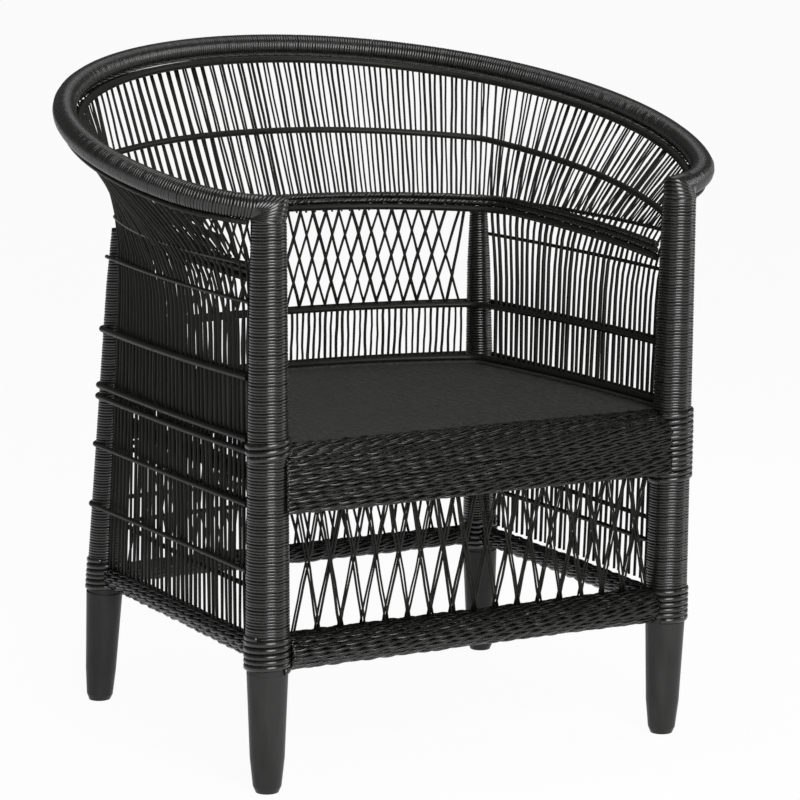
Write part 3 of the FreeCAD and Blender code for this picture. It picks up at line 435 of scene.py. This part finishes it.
SIDE_STAKE_RADII = (0.0018, 0.0021, 0.0024, 0.0018, 0.0012)
SIDE_STAKE_BOW = 0.0008
for name in SIDES:
    wall = rods(f"{name}_wall_stakes")
    flare = bent_rods(f"flare_outer_stakes_{name}")
    wall = wall[np.argsort(wall[:, 0, 1])]
    flare = flare[np.argsort(flare[:, 0, 1])]
    lines = np.concatenate([wall[:, :1], flare], axis=1)
    strands = Strands()
    uneven(strands, lines, SIDE_STAKE_RADII, SIDE_STAKE_BOW, points=17)
    strands.piece(f"{name}_stakes", stake_cane, "cane",
                  [f"{name}_wall_stakes", f"flare_outer_stakes_{name}"])

STRAIGHT_BOW = 0.0007
STRAIGHT_GROUPS = {"back_wall_stakes": 0.0016, "flare_inner_stakes_left": 0.0011,
                   "flare_inner_stakes_right": 0.0011, "flare_inner_stakes_back": 0.0014,
                   "flare_outer_stakes_back": 0.0014, "back_lattice": 0.0017, "skirt_lattice": 0.0016,
                   "front_lattice": 0.0013}
# The end of each lattice that is tucked into the work next to it, how far it runs on as a share of the
# cane, and how far it is moved in y
TUCKS = {"back_lattice": (1, 0.12, 0.0025), "skirt_lattice": (0, 0.055, -0.0030),
         "front_lattice": (0, 0.03, 0.0)}
LAST_LATTICE_STEPS = (1.25, 0.35)


def one_more(row, low, high):
    """A cane beyond the last of a row, by some of the row's steps at its lower and upper end."""
    return row[-1:] + (row[-1:] - row[-2:-1]) * np.array([[low], [high]])


for name, radius in STRAIGHT_GROUPS.items():
    lines = rods(name)
    lines = lines[np.argsort(lines[:, 0, 0])]
    if name == "back_wall_stakes":
        lines = np.concatenate([lines, one_more(lines, 1, 1), one_more(lines[::-1], 1, 1)])
    if name == "back_lattice":
        lean = lines[:, 1, 0] - lines[:, 0, 0]
        lines = np.concatenate([lines, one_more(lines[lean > 0], *LAST_LATTICE_STEPS),
                                one_more(lines[lean < 0][::-1], *LAST_LATTICE_STEPS)])
    if name in TUCKS:
        end, share, aside = TUCKS[name]
        lines[:, end] += (lines[:, end] - lines[:, 1 - end]) * share + (0, aside, 0)
    strands = Strands()
    uneven(strands, lines, (radius, radius), STRAIGHT_BOW)
    strands.piece(f"{name}_canes", stake_cane, "cane", [name])


# Twined work: pairs of canes that pass over each other

def twine(strands, line, out, period, across, lift, wide, thick, ply=2, per_turn=12):
    """Twists canes round a line. Across is the half height of the twist and lift its half depth."""
    phase = chance.uniform(0, 2 * math.pi)
    length = length_of(line)
    points = int(length / period * per_turn) + 2
    path = even(line, points)
    out = unit(even(np.broadcast_to(out, line.shape), points))
    up = unit(np.cross(unit(np.gradient(path, axis=0)), out))
    for strand in range(ply):
        angle = np.linspace(0, length / period, points) * 2 * math.pi + phase + strand * 2 * math.pi / ply
        angle = angle + wander(1, points, 0.25)[0]
        waves = (length / period * 0.4, length / period * 0.9)
        depth = lift * (1 + wander(1, points, 0.45, waves=waves)[0])
        twisted = path + up * (across * np.cos(angle))[:, None] + out * (depth * np.sin(angle))[:, None]
        swell = chance.uniform(0.85, 1.15)
        strands.add(twisted[None], out[None], wide * swell, thick * swell)


ROPE = {"across": 0.0016, "lift": 0.0014, "wide": 0.0023, "thick": 0.0022, "ply": 4}
for name in ("waist_rope_lower", "waist_rope_upper"):
    line, normal = centre_line(name, 500)
    out = np.cross(unit(np.gradient(line, axis=0)), normal)
    strands = Strands()
    twine(strands, line, out, ROPE_TWIST, **ROPE)
    strands.piece(f"{name}_twist", twined_cane, "hoop", [name])

BAND_TWINE = {"across": 0.0015, "lift": 0.0013, "wide": 0.0018, "thick": 0.0012}
BAND_SINK = 0.0028
BANDS = {"front": ("front", "left", "front", "right", 0.0210),
         "back": ("rear", "left", "rear", "right", 0.0130),
         "left": ("front", "left", "rear", "left", 0.0130),
         "right": ("front", "right", "rear", "right", 0.0130)}
for name, (kind_a, side_a, kind_b, side_b, outside) in BANDS.items():
    start = leg_axis(kind_a, SIDES[side_a], LOW_RAIL_HEIGHT)
    end = leg_axis(kind_b, SIDES[side_b], LOW_RAIL_HEIGHT)
    along = unit(end - start)
    start = start + along * (pole_radius(kind_a, LOW_RAIL_HEIGHT) - 0.001)
    end = end - along * (pole_radius(kind_b, LOW_RAIL_HEIGHT) - 0.001)
    upright = np.array([0.0, 0.0, 1.0])
    level = np.cross(along, upright)
    centre = outside - BAND_SINK
    rows = int(2 * math.pi * centre / ROW_PITCH)
    strands = Strands()
    for row in range(rows):
        turn = 2 * math.pi * row / rows
        out = level * math.cos(turn) + upright * math.sin(turn)
        line = np.linspace(start + out * centre, end + out * centre, 40)
        line += out * wander(1, 40, 0.0004)[0][:, None]
        twine(strands, line, out, TWINE_PERIOD, **BAND_TWINE)
    strands.piece(f"{name}_band_twine", twined_cane, "band", [f"{name}_low_band"])


# Seat: fine wefts over and under flat warps with a twined edge at the sides and the back, and coarser
# twined rows over the front rail

seat_tree = tree_of("seat_weave")
seat_low, seat_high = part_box("seat_weave")
seat_top = seat_high[2]
seat_front, seat_back = seat_low[1], seat_high[1]
WEFT_THICK = 0.0010
WEFT_WIDE = 0.00145
WEFT_WAVE = 0.0007
WEFT_SINK = 0.0008
WARP_WIDE = SEAT_WARP * 0.54
WARP_THICK = 0.0012
WARP_SINK = 0.0034
EDGE_INSET = 0.0035
EDGE_PERIOD = 0.014
EDGE = {"across": 0.0012, "lift": 0.0010, "wide": 0.0020, "thick": 0.0016, "ply": 3}
seat_middle = (seat_low[2] + seat_high[2]) / 2
seat = Strands()
count = int((seat_back - seat_front) / SEAT_WEFT)
for row, y in enumerate(np.linspace(seat_front + 0.001, seat_back - 0.0015, count)):
    hit = seat_tree.ray_cast(Vector((0, y, seat_middle)), Vector((1, 0, 0)))[0]
    half = hit.x - 0.0008
    points = int(2 * half / SEAT_WARP * 4) + 2
    x = np.linspace(-half, half, points)
    wave = np.cos(math.pi * x / SEAT_WARP + math.pi * (row % 2))
    z = seat_top - WEFT_THICK - WEFT_SINK + WEFT_WAVE * wave + wander(1, points, 0.0002)[0]
    line = np.stack([x, y + wander(1, points, 0.0003)[0], z], axis=-1)
    seat.add(line[None], (0, 0, 1), WEFT_WIDE, WEFT_THICK, sides=6)
count = int((seat_high[0] - seat_low[0]) / SEAT_WARP)
for x in np.linspace(seat_low[0] + 0.004, seat_high[0] - 0.004, count):
    ends = []
    for way in (-1, 1):
        hit = seat_tree.ray_cast(Vector((x, -0.06, seat_middle)), Vector((0, way, 0)))[0]
        ends.append(np.array(hit) - np.array((0, way * 0.001, 0)))
    line = np.linspace(ends[0], ends[1], 24)
    line[:, 2] = seat_top - WARP_SINK
    seat.add(line[None], (0, 0, 1), WARP_WIDE, WARP_THICK, sides=6)
edge_line, normal = centre_line("seat_inner_ring", 500)
edge_out = unit(np.cross(unit(np.gradient(edge_line, axis=0)), normal))
edge_line = edge_line - edge_out * EDGE_INSET
edge_line[:, 2] = seat_top
twine(seat, edge_line, edge_out, EDGE_PERIOD, **EDGE)
seat.piece("seat_cloth", weave_cane, "weave", ["seat_weave"])

APRON_LAP = 0.012
APRON_RAIL_HEIGHT = 0.356
APRON_LAYERS = ((0.0026, 0.0018), (0.0050, 0.0026))  # depth under the surface, half the width of a cane
APRON_TWINE = {"across": 0.0016, "lift": 0.0012, "thick": 0.0012}
apron_tree = tree_of("front_apron")
apron_low, apron_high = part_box("front_apron")
rail = leg_axis("front", 1, APRON_RAIL_HEIGHT)
profile = []
for y in np.linspace(apron_high[1] - 0.0005, rail[1], 12):
    hit = apron_tree.ray_cast(Vector((0.003, y, 0.5)), Vector((0, 0, -1)))[0]
    profile.append((y, hit.z))
for turn in np.linspace(0, math.pi / 2, 16)[1:]:
    way = Vector((0, -math.sin(turn), math.cos(turn)))
    hit = apron_tree.ray_cast(Vector((0.003, rail[1], rail[2])) + way * 0.1, -way)[0]
    profile.append((hit.y, hit.z))
for z in np.linspace(rail[2], apron_low[2] + 0.001, 12)[1:]:
    hit = apron_tree.ray_cast(Vector((0.003, -0.5, z)), Vector((0, 1, 0)))[0]
    profile.append((hit.y, z))
profile = np.array([(0.0, y, z) for y, z in profile])
rows = int(length_of(profile) / ROW_PITCH)
profile = even(profile, rows * 4)
outward = unit(np.cross(np.gradient(profile, axis=0), (1.0, 0.0, 0.0)))
outward *= np.sign((outward * (profile - rail * (0, 1, 1))).sum(axis=1, keepdims=True))
apron = Strands()
for row in range(rows):
    place = profile[row * 4 + 2]
    out = outward[row * 4 + 2]
    for depth, wide in APRON_LAYERS:
        centre = place - out * depth
        leg = leg_axis("front", 1, centre[2])
        bound = pole_radius("front", centre[2]) + WRAP_DEPTH
        beside = math.sqrt(max(bound ** 2 - (centre[1] - leg[1]) ** 2, APRON_LAP ** 2))
        half = np.array((leg[0] - beside, 0, 0))
        line = np.linspace(centre - half, centre + half, 60)
        line += np.cross(out, (1.0, 0.0, 0.0)) * wander(1, 60, 0.0010)[0][:, None]
        twine(apron, line, out, TWINE_PERIOD, wide=wide, **APRON_TWINE)
apron.piece("apron_twine", twined_cane, "apron", ["front_apron"])


# Camera, light and floor

camera_data = bpy.data.cameras.new("camera")
camera_data.lens = 136.17
camera_data.sensor_width = 36.0
camera_data.shift_y = 0.0014
camera = bpy.data.objects.new("camera", camera_data)
camera.location = (-1.603, -3.095, 0.944)
camera.rotation_euler = (math.radians(80.58), 0.0, math.radians(-28.14))
bpy.context.scene.collection.objects.link(camera)
bpy.context.scene.camera = camera


def add_light(name, place, target, width, height, power):
    data = bpy.data.lights.new(name, "AREA")
    data.shape = "RECTANGLE"
    data.size = width
    data.size_y = height
    data.energy = power
    light = bpy.data.objects.new(name, data)
    light.location = place
    light.rotation_euler = (Vector(target) - Vector(place)).to_track_quat("-Z", "Y").to_euler()
    bpy.context.scene.collection.objects.link(light)


add_light("front_softbox", (-0.55, -2.9, 1.45), (0, 0, 0.4), 1.7, 2.0, 100)
add_light("top_softbox", (0.2, 0.1, 2.6), (0, 0, 0.4), 1.4, 1.4, 17)
add_light("side_softbox", (2.6, -0.8, 1.4), (0, 0, 0.4), 1.0, 1.2, 16)

world = bpy.data.worlds.new("studio")
world.use_nodes = True
bpy.context.scene.world = world
tree = world.node_tree
background = tree.nodes["Background"]
background.inputs["Color"].default_value = (1, 1, 1, 1)
background.inputs["Strength"].default_value = 0.17

FLOOR_SIZE = 80.0
floor_mesh = bpy.data.meshes.new("floor")
h = FLOOR_SIZE / 2
floor_mesh.from_pydata([(-h, -h, 0), (h, -h, 0), (h, h, 0), (-h, h, 0)], [], [(0, 1, 2, 3)])
floor = bpy.data.objects.new("floor", floor_mesh)
bpy.context.scene.collection.objects.link(floor)
paper = bpy.data.materials.new("paper")
paper.use_nodes = True
tree = paper.node_tree
matt = tree.nodes["Principled BSDF"]
matt.inputs["Base Color"].default_value = (0.9, 0.9, 0.9, 1)
matt.inputs["Roughness"].default_value = 0.9
glow = tree.nodes.new("ShaderNodeEmission")
glow.inputs["Color"].default_value = (1, 1, 1, 1)
mix = tree.nodes.new("ShaderNodeMixShader")
path = tree.nodes.new("ShaderNodeLightPath")
seen = tree.nodes.new("ShaderNodeMath")
seen.operation = "MAXIMUM"
tree.links.new(path.outputs["Is Camera Ray"], seen.inputs[0])
tree.links.new(path.outputs["Is Glossy Ray"], seen.inputs[1])
shown = tree.nodes.new("ShaderNodeMath")
shown.operation = "MAXIMUM"
tree.links.new(seen.outputs["Value"], shown.inputs[0])
tree.links.new(path.outputs["Is Transmission Ray"], shown.inputs[1])
part = tree.nodes.new("ShaderNodeMath")
part.operation = "MULTIPLY"
part.inputs[1].default_value = 0.95
tree.links.new(shown.outputs["Value"], part.inputs[0])
tree.links.new(part.outputs["Value"], mix.inputs["Fac"])
tree.links.new(matt.outputs["BSDF"], mix.inputs[1])
tree.links.new(glow.outputs["Emission"], mix.inputs[2])
tree.links.new(mix.outputs["Shader"], tree.nodes["Material Output"].inputs["Surface"])
floor_mesh.materials.append(paper)

bpy.context.scene.view_settings.view_transform = "Standard"
